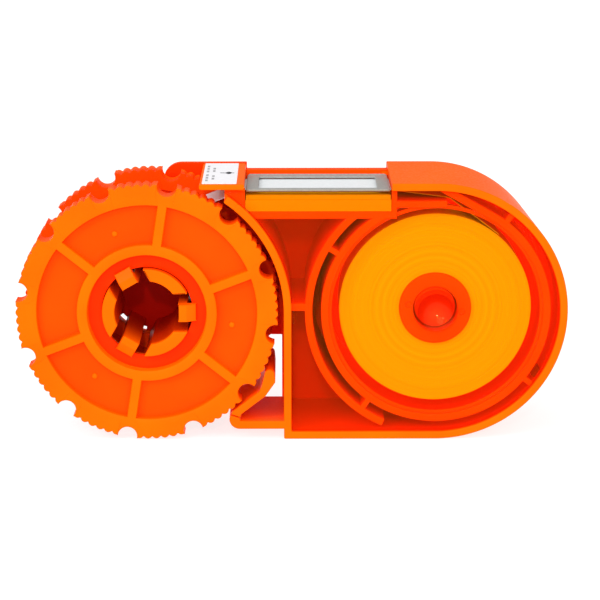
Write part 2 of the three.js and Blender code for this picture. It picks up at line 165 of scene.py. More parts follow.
# Faces between rows of closed rings; the rings run anticlockwise, and later rows lie deeper or further out
def gridFaces(rows, columns, closed=False, first=0):
    i = np.arange(rows if closed else rows - 1)[:, None]
    j = np.arange(columns)[None, :]
    nextRow, nextColumn = (i + 1) % rows, (j + 1) % columns
    corners = (i * columns + j, nextRow * columns + j, nextRow * columns + nextColumn, i * columns + nextColumn)
    return np.stack(np.broadcast_arrays(*corners), -1).reshape(-1, 4) + first


def capFaces(rings, starts, front=True):  # flat face bounded by rings; the first is the outside
    loops = [[Vector((x, z, 0)) for x, z in ring] for ring in rings]
    faces = np.array(tessellate_polygon(loops)).reshape(-1, 3)
    flat = np.concatenate(rings)
    index = np.concatenate([np.arange(len(ring)) + start for ring, start in zip(rings, starts)])
    a, b, c = flat[faces[:, 0]], flat[faces[:, 1]], flat[faces[:, 2]]
    area = np.cross(b - a, c - a)
    faces = faces[np.abs(area) > 1e-9]
    turned = (area[np.abs(area) > 1e-9] < 0) == front
    faces[turned] = faces[turned][:, ::-1]
    return index[faces]


def body(points, quads=(), tris=()):
    return {"points": np.asarray(points, float).reshape(-1, 3),
            "quads": np.asarray(quads, int).reshape(-1, 4), "tris": np.asarray(tris, int).reshape(-1, 3)}


def together(*parts):
    starts = np.cumsum([0] + [len(part["points"]) for part in parts[:-1]])
    return {"points": np.concatenate([part["points"] for part in parts]),
            "tone": np.concatenate([part.get("tone", np.zeros(len(part["points"]))) for part in parts]),
            "quads": np.concatenate([part["quads"] + s for part, s in zip(parts, starts)]),
            "tris": np.concatenate([part["tris"] + s for part, s in zip(parts, starts)])}


# The side of a flat body with rounded edges: its rings lie r(1 - sin a) inside the outline and r(1 - cos a)
# behind the face, and the same at the far face
def sideRows(ring, near, far, rounding, steps):
    a = np.linspace(0, math.pi / 2, steps + 1)
    inset, back = rounding * (1 - np.sin(a)), rounding * (1 - np.cos(a))
    insets, depths = np.concatenate([inset, inset[::-1]]), np.concatenate([near + back, far - back[::-1]])
    if far - near > 6:  # a ring a little behind the face, for walls whose painted shade changes quickly there
        insets, depths = np.insert(insets, steps + 1, 0), np.insert(depths, steps + 1, near + 2.6)
    rows = np.stack([shifted(ring, -inset) for inset in insets])
    depth = np.broadcast_to(depths[:, None, None], rows.shape[:2] + (1,))
    return rows, np.concatenate([rows[..., :1], depth, rows[..., 1:]], -1).reshape(-1, 3)


def plate(outline, near, far, rounding=0.25, holes=(), steps=3):
    points, quads, firsts, lasts, start = [], [], [], [], 0
    for ring in (outline, *[hole[::-1] for hole in holes]):
        rows, side = sideRows(ring, near, far, rounding, steps)
        points.append(side)
        quads.append(gridFaces(len(rows), len(ring), first=start))
        firsts.append((rows[0], start))
        lasts.append((rows[-1], start + (len(rows) - 1) * len(ring)))
        start += len(rows) * len(ring)
    tris = [capFaces(*zip(*firsts), True), capFaces(*zip(*lasts), False)]
    return body(np.concatenate(points), np.concatenate(quads), np.concatenate(tris))


# Points (radius, depth) of a section carried round an axis: centre + radius (cos a, sin a)
def around(centre, section, columns):
    a = np.linspace(0, 2 * math.pi, columns, endpoint=False)
    r, d = section[:, 0][:, None], section[:, 1][:, None]
    return np.stack(np.broadcast_arrays(centre[0] + r * np.cos(a), d, centre[1] + r * np.sin(a)), -1)


def turned(centre, section, columns=192):  # a turned body; its section runs outwards from the front inside edge
    return body(around(centre, section, columns), gridFaces(len(section), columns, closed=True))


# A bump or a pit on a flat face: rings (radius, depth) from its rim to its middle, where a fan closes it
def cap(centre, section, columns=48, front=True):
    points = around(centre, section, columns)
    rows = len(section)
    quads = gridFaces(rows, columns)
    edge = (rows - 1) * columns + np.arange(columns)
    middle = np.full(columns, rows * columns)
    tris = np.stack([edge, middle, np.roll(edge, -1)], 1)
    if front:
        quads, tris = quads[:, ::-1], tris[:, ::-1]
    points = np.concatenate([points.reshape(-1, 3), [[centre[0], section[-1][1], centre[1]]]])
    return body(points, quads, tris)


def swept(part, centre, degrees):  # turns a part about an axis through centre
    a = math.radians(degrees)
    x, z = part["points"][:, 0] - centre[0], part["points"][:, 2] - centre[1]
    points = part["points"].copy()
    points[:, 0] = centre[0] + x * math.cos(a) - z * math.sin(a)
    points[:, 2] = centre[1] + x * math.sin(a) + z * math.cos(a)
    return {**part, "points": points}


# Painted shade by depth: surfaces further back get a darker, redder colour and, past 2, a painted red glow; the
# value is 0 at start and most from start + reach on
def paintShadeByDepth(part, start, reach, most):
    share = np.clip((part["points"][:, 1] - start) / reach, 0, 1)
    return {**part, "tone": most * share}


draft = {"most": 2.2, "from": 33.6, "over": 2.55}


# The round end draws in towards the back: by draft x depth share x cos(angle)^2, fading out at the ring wall
def drafted(part):
    points = part["points"].copy()
    x, z = points[:, 0] - rollAt[0], points[:, 2] - rollAt[1]
    radius = np.hypot(x, z)
    radius[radius == 0] = 1
    share = np.clip((radius - draft["from"]) / draft["over"], 0, 1) * np.clip(points[:, 1] / backFace, 0, 1)
    inset = np.where(x > 0, draft["most"] * share * (x / radius) ** 2, 0)
    points[:, 0] -= inset * x / radius
    points[:, 2] -= inset * z / radius
    return {**part, "points": points}


# Puts a part into a mesh; edges that turn by more than the sharp angle stay crisp
def makePiece(name, part, material, rides, nodes=(), sharp=38, even=True):
    points = part["points"].copy()
    points[:, 1] += frontY
    mesh = bpy.data.meshes.new(name)
    corners = np.concatenate([part["quads"].ravel(), part["tris"].ravel()])
    fours, threes = len(part["quads"]), len(part["tris"])
    mesh.vertices.add(len(points))
    mesh.vertices.foreach_set("co", (points * 0.001).ravel())
    mesh.loops.add(len(corners))
    mesh.loops.foreach_set("vertex_index", corners.astype(np.int32))
    mesh.polygons.add(fours + threes)
    starts = np.concatenate([np.arange(fours) * 4, fours * 4 + np.arange(threes) * 3])
    mesh.polygons.foreach_set("loop_start", starts.astype(np.int32))
    mesh.update(calc_edges=True)
    # per-point painted shade and glow value, read by the materials
    tone = mesh.attributes.new("tone", "FLOAT", "POINT")
    tone.data.foreach_set("value", np.asarray(part.get("tone", np.zeros(len(points))), np.float32))
    mesh.validate()
    mesh.polygons.foreach_set("use_smooth", np.ones(len(mesh.polygons), bool))
    mesh.set_sharp_from_angle(angle=math.radians(sharp))
    mesh.materials.append(material)
    piece = bpy.data.objects.new(name, mesh)
    scene.collection.objects.link(piece)
    if even:
        weighted = piece.modifiers.new("evenShading", "WEIGHTED_NORMAL")
        weighted.keep_sharp = True
    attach(piece, rides)
    if nodes:
        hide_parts(*nodes)
    return piece


def orangePiece(name, part, rides="frame", node="frame_shell", shaded=False):
    makePiece(name, part, shadedOrange if shaded else orange, rides, [node])


def newMaterial(name):
    material = bpy.data.materials.new(name)
    material.use_nodes = True
    nodes = material.node_tree.nodes
    return material, nodes, nodes["Principled BSDF"]


def setInputs(node, values):  # values by the name or number of the input
    for key, value in values.items():
        node.inputs[key].default_value = value


def join(source, output, target, key):
    source.id_data.links.new(source.outputs[output], target.inputs[key])


def addNode(nodes, kind, **values):
    node = nodes.new(kind)
    for key, value in values.items():
        if key in node.inputs:
            node.inputs[key].default_value = value
        else:
            setattr(node, key, value)
    return node


def noiseOn(nodes, scale, detail=4.0, stretch=(1, 1, 1)):  # noise in the piece's own coordinates
    coords = addNode(nodes, "ShaderNodeTexCoord")
    mapping = addNode(nodes, "ShaderNodeMapping")
    mapping.inputs["Scale"].default_value = stretch
    noise = addNode(nodes, "ShaderNodeTexNoise", Scale=scale, Detail=detail)
    join(coords, "Object", mapping, "Vector")
    join(mapping, "Vector", noise, "Vector")
    return noise


def rampOf(nodes, *stops):
    ramp = addNode(nodes, "ShaderNodeValToRGB")
    elements = ramp.color_ramp.elements
    elements[0].position, elements[1].position = stops[0][0], stops[-1][0]
    for position, _ in stops[1:-1]:
        elements.new(position)
    for element, (_, colour) in zip(elements, stops):
        element.color = (*colour, 1)
    return ramp


def bumpOn(nodes, height, shader, strength, distance):
    bump = addNode(nodes, "ShaderNodeBump", Strength=strength, Distance=distance)
    join(height, "Fac", bump, "Height")
    join(bump, "Normal", shader, "Normal")


orangePlastic = {
    "deep": (0.99, 0.105, 0.0), "light": (0.995, 0.130, 0.0),  # flow lines in the moulding
    "thin": (1.0, 0.52, 0.3), "inner": (0.98, 0.14, 0.2),  # painted shade: darker, redder colour factors where the painted shade value is 1 and 2
    "roughness": (0.3, 0.42), "specular": 0.025, "grain": 0.012,
    "glow": 0.9,  # painted red glow, an emission standing in for light through thin walls, where the painted shade value goes on from 2 to 3
}


def mouldedOrange(name, spec):
    material, nodes, shader = newMaterial(name)
    flow = noiseOn(nodes, 55, 3, (1, 0.35, 1))
    tint = rampOf(nodes, (0.3, spec["deep"]), (0.7, spec["light"]))
    join(flow, "Fac", tint, "Fac")
    tone = addNode(nodes, "ShaderNodeAttribute", attribute_name="tone")
    third = addNode(nodes, "ShaderNodeMath", operation="DIVIDE")
    third.inputs[1].default_value = 3.0
    join(tone, "Fac", third, 0)
    # painted shade: the colour is scaled towards the darker, redder factors as the painted shade value rises
    depth = rampOf(nodes, (0, (1, 1, 1)), (0.333, spec["thin"]), (0.667, spec["inner"]))
    join(third, "Value", depth, "Fac")
    paintedShadeTint = addNode(nodes, "ShaderNodeVectorMath", operation="MULTIPLY")
    join(tint, "Color", paintedShadeTint, 0)
    join(depth, "Color", paintedShadeTint, 1)
    join(paintedShadeTint, "Vector", shader, "Base Color")
    grain = noiseOn(nodes, 1400, 3)
    gloss = addNode(nodes, "ShaderNodeMapRange")
    smooth, rough = spec["roughness"]
    setInputs(gloss, {"From Min": 0.35, "From Max": 0.65, "To Min": smooth, "To Max": rough})
    join(grain, "Fac", gloss, "Value")
    join(gloss, "Result", shader, "Roughness")
    bumpOn(nodes, grain, shader, 0.25, spec["grain"] * 0.001)
    # painted red glow: red emission whose strength follows the painted shade value from 2 to 3
    setInputs(shader, {"Specular IOR Level": spec["specular"], "Emission Color": (1.0, 0.008, 0.0, 1)})
    paintedGlowRamp = rampOf(nodes, (0.667, (0, 0, 0)), (1.0, (spec["glow"],) * 3))
    join(third, "Value", paintedGlowRamp, "Fac")
    join(paintedGlowRamp, "Color", shader, "Emission Strength")
    return material


coverLook = {"film": (1.0, 0.765, 0.12), "gloss": 0.02, "roughness": 0.06, "pitGloss": 0.03}


# Tinted clear plastic: light passes straight through and is coloured, more so where it is seen at a slant; where the
# painted shade value is set (the pit over the core) the tint is painted darker, as painted shade, and a faint glossy
# layer is added
def clearPlastic(name, spec):
    material, nodes, shader = newMaterial(name)
    setInputs(shader, {"Base Color": (1.0, 0.3, 0.02, 1), "Roughness": spec["roughness"], "Specular IOR Level": 0.5})
    film = addNode(nodes, "ShaderNodeBsdfTransparent")
    tone = addNode(nodes, "ShaderNodeAttribute", attribute_name="tone")
    slant = addNode(nodes, "ShaderNodeLayerWeight", Blend=0.5)
    r, g, b = spec["film"]
    tint = rampOf(nodes, (0.1, (r, g, b)), (0.5, (r, g * 0.93, b * 0.8)), (0.85, (r * 0.8, g * 0.4, b * 0.3)))
    more = addNode(nodes, "ShaderNodeMath", operation="MULTIPLY_ADD")
    more.inputs[1].default_value = 0.6
    join(tone, "Fac", more, 0)
    join(slant, "Facing", more, 2)
    join(more, "Value", tint, "Fac")
    join(tint, "Color", film, "Color")
    blend = addNode(nodes, "ShaderNodeMixShader")
    blend.inputs["Fac"].default_value = spec["gloss"]
    join(film, "BSDF", blend, 1)
    join(shader, "BSDF", blend, 2)
    amount = addNode(nodes, "ShaderNodeMath", operation="MULTIPLY")
    amount.inputs[1].default_value = spec["pitGloss"]
    join(tone, "Fac", amount, 0)
    sheen = addNode(nodes, "ShaderNodeVectorMath", operation="SCALE")
    sheen.inputs[0].default_value = (1.0, 0.4, 0.12)
    join(amount, "Value", sheen, "Scale")
    shine = addNode(nodes, "ShaderNodeBsdfGlossy", Roughness=0.08)
    join(sheen, "Vector", shine, "Color")
    both = addNode(nodes, "ShaderNodeAddShader")
    join(blend, "Shader", both, 0)
    join(shine, "BSDF", both, 1)
    join(both, "Shader", nodes["Material Output"], "Surface")
    ripple = noiseOn(nodes, 90, 2)
    bumpOn(nodes, ripple, shader, 0.1, 0.00005)
    return material


tapeLook = {"paper": (0.86, 0.85, 0.82), "shade": (0.76, 0.75, 0.71), "windings": 900, "bump": 0.00006}


# Wound tape: fine rings in the distance from the roll's axis, paper fibre on the flat
def woundTape(name, spec, centre, ringed=True):
    material, nodes, shader = newMaterial(name)
    fibre = noiseOn(nodes, 900, 5)
    tint = rampOf(nodes, (0.25, spec["shade"]), (0.75, spec["paper"]))
    setInputs(shader, {"Roughness": 0.75, "Specular IOR Level": 0.2})
    if not ringed:
        join(fibre, "Fac", tint, "Fac")
        join(tint, "Color", shader, "Base Color")
        bumpOn(nodes, fibre, shader, 0.2, 0.00003)
        return material
    coords = addNode(nodes, "ShaderNodeTexCoord")
    mapping = addNode(nodes, "ShaderNodeMapping")
    mapping.inputs["Location"].default_value = (-centre[0] * 0.001, 0, -centre[1] * 0.001)
    join(coords, "Object", mapping, "Vector")
    flat = addNode(nodes, "ShaderNodeVectorMath", operation="MULTIPLY")
    flat.inputs[1].default_value = (1, 0, 1)
    join(mapping, "Vector", flat, 0)
    radius = addNode(nodes, "ShaderNodeVectorMath", operation="LENGTH")
    join(flat, "Vector", radius, 0)
    rings = addNode(nodes, "ShaderNodeTexNoise", noise_dimensions="1D", Scale=spec["windings"], Detail=2.0)
    join(radius, "Value", rings, "W")
    join(rings, "Fac", tint, "Fac")
    join(tint, "Color", shader, "Base Color")
    bumpOn(nodes, rings, shader, 0.5, spec["bump"])
    return material


def plainFinish(name, dark, light, roughness, scale, bump, specular=0.3):  # two tones and a grain
    material, nodes, shader = newMaterial(name)
    grain = noiseOn(nodes, scale, 5)
    tint = rampOf(nodes, (0.3, dark), (0.7, light))
    join(grain, "Fac", tint, "Fac")
    join(tint, "Color", shader, "Base Color")
    setInputs(shader, {"Roughness": roughness, "Specular IOR Level": specular})
    bumpOn(nodes, grain, shader, 0.4, bump)
    return material


orange = mouldedOrange("orangeMoulding", orangePlastic)
# darker copy of the moulding for parts deep in the reel's hub: stronger painted shade
shadedLook = {**orangePlastic, "thin": (0.6, 0.25, 0.1), "inner": (0.5, 0.04, 0.1)}
shadedOrange = mouldedOrange("orangeMouldingShaded", shadedLook)
clear = clearPlastic("clearCoverPlastic", coverLook)
clipLook = {"film": (0.95, 0.42, 0.08), "gloss": 0.05, "roughness": 0.1, "pitGloss": 0.0}
clipRed = clearPlastic("clearClipPlastic", clipLook)
stripLook = {**tapeLook, "paper": (0.7, 0.72, 0.73), "shade": (0.64, 0.66, 0.67)}
tapeWhite = woundTape("tapePaper", stripLook, (0, 0), ringed=False)
rollLook = {**tapeLook, "shade": (0.8, 0.7, 0.6), "paper": (0.86, 0.82, 0.78)}
rollWhite = woundTape("supplyRollPaper", rollLook, rollAt)
drumWhite = woundTape("drumWindingPaper", tapeLook, reelAt)
greyPlastic = plainFinish("greyWindowPlastic", (0.24, 0.24, 0.22), (0.32, 0.32, 0.30), 0.42, 1500, 0.00001)
blockWhite = plainFinish("platenPlastic", (0.66, 0.5, 0.44), (0.7, 0.54, 0.48), 0.6, 1200, 0.00001, 0.1)
foamWhite = plainFinish("padFoam", (0.66, 0.5, 0.44), (0.72, 0.55, 0.49), 0.95, 1600, 0.0001, 0.1)
labelPaper = plainFinish("labelPaper", (0.78, 0.76, 0.79), (0.82, 0.81, 0.83), 0.5, 800, 0.000005)
labelGrey = plainFinish("labelDashInk", (0.3, 0.29, 0.3), (0.42, 0.41, 0.42), 0.55, 800, 0.000005)
labelInk = plainFinish("labelInk", (0.02, 0.02, 0.03), (0.04, 0.04, 0.05), 0.55, 800, 0.000005)
feltGrey = plainFinish("washerFelt", (0.1, 0.09, 0.085), (0.22, 0.2, 0.18), 1.0, 1400, 0.0002, 0.1)
clipGrey = plainFinish("clipPlastic", (0.25, 0.25, 0.24), (0.33, 0.33, 0.31), 0.5, 1200, 0.00001)
print("materials ready")


# The two flanges of the reel
toothedRim = {
    "tip": 38.2, "tooth": 0.62, "notches": 12, "notchRadius": 2.85, "notchFloor": 35.1, "phase": 20.3,
    "teeth": 6, "pitch": 3.87, "first": 5.35, "notchSamples": 20, "toothSamples": 12,
}
flangeWeb = {
    "rimInner": 32.1, "hubOuter": 20.4, "hubInner": 17.4, "bore": 13.3, "recess": 2.0, "web": 2.2,
    "spokes": 6, "spokePhase": 21, "spokeWidth": 2.8, "edge": 0.28, "bridge": 34.2,
}


# Toothed outline round the axis. A notch is a circle whose middle lies on the rim. Over the teeth the radius is
# tip - tooth (1 - f) with f = cos(90 v / 0.85)^0.65, v the share of the way from a tooth's middle to its valley.
def toothedOutline(spec):
    turn = np.radians(np.linspace(-95, 95, spec["notchSamples"]))
    reach = spec["notchFloor"] + spec["notchRadius"] - spec["notchRadius"] * np.cos(turn)
    notch = np.stack([reach, spec["notchRadius"] * np.sin(turn)], 1)
    count = spec["teeth"] * spec["toothSamples"]
    edge = spec["first"] - spec["pitch"] / 2
    span = (spec["teeth"] - 1) * spec["pitch"] + 0.9
    angle = spec["first"] - 0.45 + (np.arange(count) + 0.5) / count * span
    share = np.abs((angle - edge) % spec["pitch"] / spec["pitch"] * 2 - 1)
    height = np.cos(math.pi / 2 * np.minimum(share / 0.85, 1)) ** 0.65
    radius = spec["tip"] - spec["tooth"] * (1 - height)
    a = np.radians(angle)
    step = np.concatenate([notch, np.stack([radius * np.cos(a), radius * np.sin(a)], 1)])
    at = np.radians(spec["phase"] + np.arange(spec["notches"]) * 360 / spec["notches"])[:, None]
    x = step[:, 0] * np.cos(at) - step[:, 1] * np.sin(at)
    z = step[:, 0] * np.sin(at) + step[:, 1] * np.cos(at)
    return np.stack([x.ravel(), z.ravel()], 1)


# Angles of one ring inside the rim: near a spoke they follow its straight sides, asin(offset / radius),
# and between two spokes they are spread evenly. Also how deep the panel is in each column.
def spokeColumns(spec, radius, columns):
    offsets = np.array([0.5, 0.85, 0.92, 1.0, 1.03, 1.2]) * spec["spokeWidth"] / 2
    depths = np.array([0, 0, 0.08, 0.3, 0.86, 1.0])
    offsets = np.concatenate([-offsets[::-1], [0], offsets])
    depths = np.concatenate([depths[::-1], [0], depths])
    near = np.degrees(np.arcsin(offsets / radius))
    between = columns // spec["spokes"] - len(offsets)
    far = np.linspace(near[-1], 360 / spec["spokes"] + near[0], between + 2)[1:-1]
    one = np.concatenate([near, far])
    starts = spec["spokePhase"] + np.arange(spec["spokes"])[:, None] * 360 / spec["spokes"]
    return (starts + one[None]).ravel(), np.tile(np.concatenate([depths, np.ones(between)]), spec["spokes"])


# A flange as one closed grid of rings. A ring is (radius or distance inside the outline, depth from the
# panelled face, share of the panel's recess); its depth is the smaller of the ring's and the column's recess.
def flangeGrid(rim, web, thick, hubDepth, ledge, hubFoot):
    outline = toothedOutline(rim)
    columns = len(outline)
    shift = rim["notchSamples"] // 2 + 0.5  # columns before the middle of a notch
    e = web["edge"]
    a = np.linspace(0, math.pi / 2, 4)
    r1, r2, hub, bore = web["rimInner"], web["hubOuter"], web["hubInner"], web["bore"]
    down = web["recess"]
    rings = []

    def ring(radius, depth, share=0.0, kind="round"):
        rings.append((radius, depth, share, kind))

    def run(*entries):
        for entry in entries:
            ring(*entry)

    def corner(radius, depth, size, signR, signD, order=1):  # quarter round; signs point to its middle
        for t in a[::order]:
            ring(radius + signR * size * (1 - math.sin(t)), depth + signD * size * (1 - math.cos(t)))

    if ledge is not None:
        corner(bore, ledge, 0.2, 1, 1, -1)
        run((hub - 0.25, ledge), (hub, ledge - 0.25), (hub, e), (hub + 0.1, 0.08), (hub + e, 0))
    else:
        corner(bore, 0, 0.2, 1, 1, -1)
        ring(hub, 0)
    run((r2 - e, 0), (r2 - 0.08, 0, 0.04), (r2, 0, 0.16), (r2 + 0.04, 0, 0.86), (r2 + 0.25, 0, 1.0))
    run(((r1 + r2) / 2, 0, 1.0), (r1 - 0.25, 0, 1.0), (r1 - 0.04, 0, 0.86), (r1, 0, 0.16), (r1 + 0.08, 0, 0.04))
    run((r1 + e, 0), (web["bridge"], 0, 0, "flat"))
    for t in a:
        ring(e * (1 - math.sin(t)), e * (1 - math.cos(t)), 0, "toothed")
    for t in a[::-1]:
        ring(e * (1 - math.sin(t)), thick - e * (1 - math.cos(t)), 0, "toothed")
    run((web["bridge"], thick, 0, "flat"), (r1 + e, thick), (r1 + 0.08, thick - 0.08), (r1, thick - e))
    inside = down + web["web"]
    run((r1, inside + 0.3), (r1 - 0.3, inside), (r2 + 0.3, inside), (r2, inside + 0.3))
    run((r2, hubDepth - e), (r2 - 0.08, hubDepth - 0.08), (r2 - e, hubDepth))
    run((hub + e, hubDepth), (hub + 0.08, hubDepth - 0.08), (hub, hubDepth - e))
    run((hub, hubFoot + 0.25), (hub - 0.25, hubFoot))
    corner(bore, hubFoot, 0.2, 1, -1, 1)

    radii = np.array([r for r, *_ in rings])
    depth = np.array([d for _, d, *_ in rings])[:, None]
    share = np.array([s for *_, s, _ in rings])[:, None]
    outlineAngles = np.unwrap(np.arctan2(outline[:, 1], outline[:, 0]))
    rows = []
    for radius, _, _, kind in rings:
        if kind == "toothed":
            rows.append(shifted(outline, -radius))
        elif kind == "flat":
            rows.append(np.stack([radius * np.cos(outlineAngles), radius * np.sin(outlineAngles)], 1))
        else:
            angles = np.radians(np.roll(spokeColumns(web, radius, columns)[0], int(shift)))
            rows.append(np.stack([radius * np.cos(angles), radius * np.sin(angles)], 1))
    rows = np.stack(rows)
    panel = np.roll(spokeColumns(web, r1, columns)[1], int(shift))[None, :]
    depth = depth + down * np.minimum(share, panel)
    rows = rows + reelAt
    points = np.stack([rows[..., 0], np.broadcast_to(depth, rows.shape[:2]), rows[..., 1]], -1)
    # painted shade: the panels' recesses, the toothed sides towards the back and the hub's hollow get darker
    hollow = (radii < hub - 0.05) & (np.arange(len(radii)) < 8) if ledge is not None else radii < 0
    side = np.array([kind == "toothed" for *_, kind in rings])[:, None] * np.clip(depth / thick, 0, 1)
    tone = np.maximum(np.minimum(share, panel), side) + 1.7 * hollow[:, None]
    return {**body(points, gridFaces(len(rings), columns, closed=True)), "tone": np.minimum(tone, 2).ravel()}


def facingBack(part, plane):  # the same body seen from behind: depth becomes plane - depth
    points = part["points"] * [1, -1, 1] + [0, plane, 0]
    return {**part, "points": points, "quads": part["quads"][:, ::-1], "tris": part["tris"][:, ::-1]}


frontSpan, rearSpan = spanOf("reel_front_flange"), spanOf("reel_rear_flange")
frontThick = float(frontSpan[1][1])
reelBack = float(rearSpan[1][1])
frontFlange = flangeGrid(toothedRim, flangeWeb, frontThick, frontThick, 2.8, 5.0)
pips = [cap(polar(reelAt, 25, at), np.array([[0.85, 2.05], [0.8, 1.8], [0.6, 1.6], [0.3, 1.52]]), 24)
        for at in (111, 231, 351)]
orangePiece("reelFrontFlange", together(frontFlange, *pips), "reel", "reel_front_flange")
drumWeb = {**flangeWeb, "hubOuter": 20.1}
rearFlange = flangeGrid(toothedRim, drumWeb, frontThick, reelBack - float(rearSpan[0][1]), None, 4.2)
rearFlange = facingBack(rearFlange, reelBack)
# painted shade: the rear flange gets darker away from its back face
rearFlange["tone"] = 1.3 * np.clip((reelBack - 0.4 - rearFlange["points"][:, 1]) / 3, 0, 1)
orangePiece("reelRearFlange", rearFlange, "reel", "reel_rear_flange")
print("reel flanges made")


# Tape on the drum and on the supply core
winding = {"inner": 20.4, "outer": 21.3, "turns": 8, "uneven": 0.03}
supply = {"inner": 10.64, "outer": 28.2, "turns": 60, "uneven": 0.05}
windSpan, coilSpan, coreSpan = spanOf("takeup_winding"), spanOf("supply_roll"), spanOf("supply_core")


# Section of a wound coil: its flat sides step in and out by a hair from turn to turn
def coilSection(spec, span):
    near, far, outer = span[0][1], span[1][1], spec["outer"]
    r = np.linspace(spec["inner"], outer, spec["turns"] * 2 + 1)
    wave = spec["uneven"] * (np.sin(r * 37.0) + 0.6 * np.sin(r * 11.3 + 1)) * (np.arange(len(r)) % 2)
    front = np.stack([r, near + np.abs(wave)], 1)
    back = np.stack([r[::-1], far - np.abs(wave[::-1])], 1)
    return np.concatenate([front, [[outer + 0.02, near + 0.1]], [[outer + 0.02, far - 0.1]], back])


drumCoil = turned(reelAt, coilSection(winding, windSpan))
makePiece("drumWinding", drumCoil, drumWhite, "reel", ["takeup_winding"])
supplyCoil = turned(rollAt, coilSection(supply, coilSpan), 160)
makePiece("supplyRoll", supplyCoil, rollWhite, "supply", ["supply_roll"])

core = {"outer": 10.6, "inner": 6.5, "mark": 7.9, "markRadius": 0.9}
coreFront, coreBack = float(coreSpan[0][1]), float(coreSpan[1][1])
marks = [circle(polar(rollAt, core["mark"], at), core["markRadius"], 15) for at in (172, -8)]
coreHoles = [circle(rollAt, core["inner"]), *marks]
coreFace = plate(circle(rollAt, core["outer"]), coreFront, coreFront + 1.2, 0.35, coreHoles)
inner, outer = core["inner"] + 0.02, core["outer"] - 0.02
tubeSection = line((inner, coreFront + 0.45), (outer, coreFront + 0.45), (outer, coreBack - 0.3),
                   (core["outer"] - 0.3, coreBack), (core["inner"] + 0.3, coreBack), (inner, coreBack - 0.3))
coreTube = turned(rollAt, tubeSection)
orangePiece("supplyCore", together(coreFace, coreTube), "supply", "supply_core")
print("rolls made")


# Spindle in the reel: base, three segments and three snap hooks
spindle = {
    "inner": 9.5, "outer": 13.1, "channel": 11.3, "base": 17.4, "window": (12.2, 14.5),
    "hookWidth": 5.1, "hookThick": 2.2, "barb": 14.2, "barbTip": 1.9, "barbFoot": 2.5,
}
baseSpan, segmentSpan = spanOf("spindle_base"), spanOf("spindle_segment_1")
hookAngles = [0, 120, 240]
hookWindows = [softened(sector(reelAt, *spindle["window"], at - 20, at + 20), 0.3) for at in hookAngles]
basePart = plate(circle(reelAt, spindle["base"]), baseSpan[0][1], baseSpan[1][1], 0.25, hookWindows)
# painted shade: the base darker behind its front face
orangePiece("spindleBase", paintShadeByDepth(basePart, baseSpan[0][1] - 1, 1, 2.0), node="spindle_base", shaded=True)

for index, at in enumerate(hookAngles):
    half = [math.degrees(math.asin(spindle["channel"] / 2 / spindle[key])) for key in ("outer", "inner")]
    segment = outlineOf(arc((0, 0), spindle["outer"], at + half[0], at + 120 - half[0]),
                        arc((0, 0), spindle["inner"], at + 120 - half[1], at + half[1]))
    part = plate(softened(segment, 0.3) + reelAt, segmentSpan[0][1], baseSpan[0][1] + 0.2, 0.35)
    # painted shade by depth on the segments
    part = paintShadeByDepth(part, segmentSpan[0][1] + 0.3, 5, 2.0)
    orangePiece(f"spindleSegment{index + 1}", part, node=f"spindle_segment_{index + 1}", shaded=True)

# Hook in its own plane: radius from the axis and depth, carried across its width
hookLow, hookHigh = spanOf("snap_hook_1")
inner, barb = spindle["inner"] - 0.2, spindle["barb"]
outer = inner + spindle["hookThick"]
hookSide = line((inner, hookHigh[1]), (inner, hookLow[1]), (outer, hookLow[1]), (barb, spindle["barbTip"]),
                (barb, spindle["barbFoot"]), (outer, spindle["barbFoot"]), (outer, hookHigh[1]))
hookFlat = plate(softened(hookSide[::-1], 0.25), -spindle["hookWidth"] / 2, spindle["hookWidth"] / 2, 0.22)
p = hookFlat["points"]
hookBody = {**hookFlat, "points": np.stack([p[:, 0] + reelAt[0], p[:, 2], reelAt[1] + p[:, 1]], 1)}
# painted shade by depth on the hooks
hookBody = paintShadeByDepth(hookBody, 2.6, 6, 2.0)
for index, at in enumerate(hookAngles):
    part = swept(hookBody, reelAt, at)
    orangePiece(f"snapHook{index + 1}", part, f"hook_{index + 1}", f"snap_hook_{index + 1}", shaded=True)
print("spindle made")


# Housing: rim, inner walls, floor of the roll bay and back plate
housing = {
    "guardInner": 39.9, "guardOuter": 42.1, "guardEnd": 55.5, "gate": 50.5, "hoodLeft": 28.8,
    "ringInner": 31.4, "ringOuter": 33.6, "lip": 30.5, "bayFloor": 25.9, "innerFrom": 2.1,
    "leave": 60.6, "guide": 17.2,
}
h = housing
h["left"], h["right"] = reelAt[0] + h["guardInner"], reelAt[0] + h["guardOuter"]
z0 = float(shellLow[2])
arcInner = lobeOuter - wall
shellRuns = [
    arc(reelAt, h["guardInner"], h["gate"], 0, 1.5), line((h["left"], z0), (rollAt[0], z0)),
    arc(rollAt, lobeOuter, -90, 90, 1.5), line((h["hoodLeft"], hoodTop), (h["hoodLeft"], hoodTop - wall)),
    arc(rollAt, arcInner, 90, -90, 1.5), line((h["right"], z0 + wall)),
    arc(reelAt, h["guardOuter"], 0, h["gate"], 1.5),
]
rimPart = drafted(plate(softened(outlineOf(*shellRuns), 0.5), 0, backFace - 0.02, 0.3))
x, depth, z = rimPart["points"].T
rimRadius = np.hypot(x - rollAt[0], z - rollAt[1]) + draft["most"] * depth / backFace
outside = ((x > rollAt[0]) & (rimRadius > lobeOuter - 1)) | (z > hoodTop - 1) | (z < z0 + 1)
paintedRimShadeAndGlow = 2.6 * np.clip((depth - 0.35) / 3, 0, 1)  # painted shade on the inside of the wall, rising into a painted red glow round the roll
rimPart["tone"] = np.where(outside, 0, np.where(x > h["hoodLeft"], paintedRimShadeAndGlow, 0.4 * paintedRimShadeAndGlow))
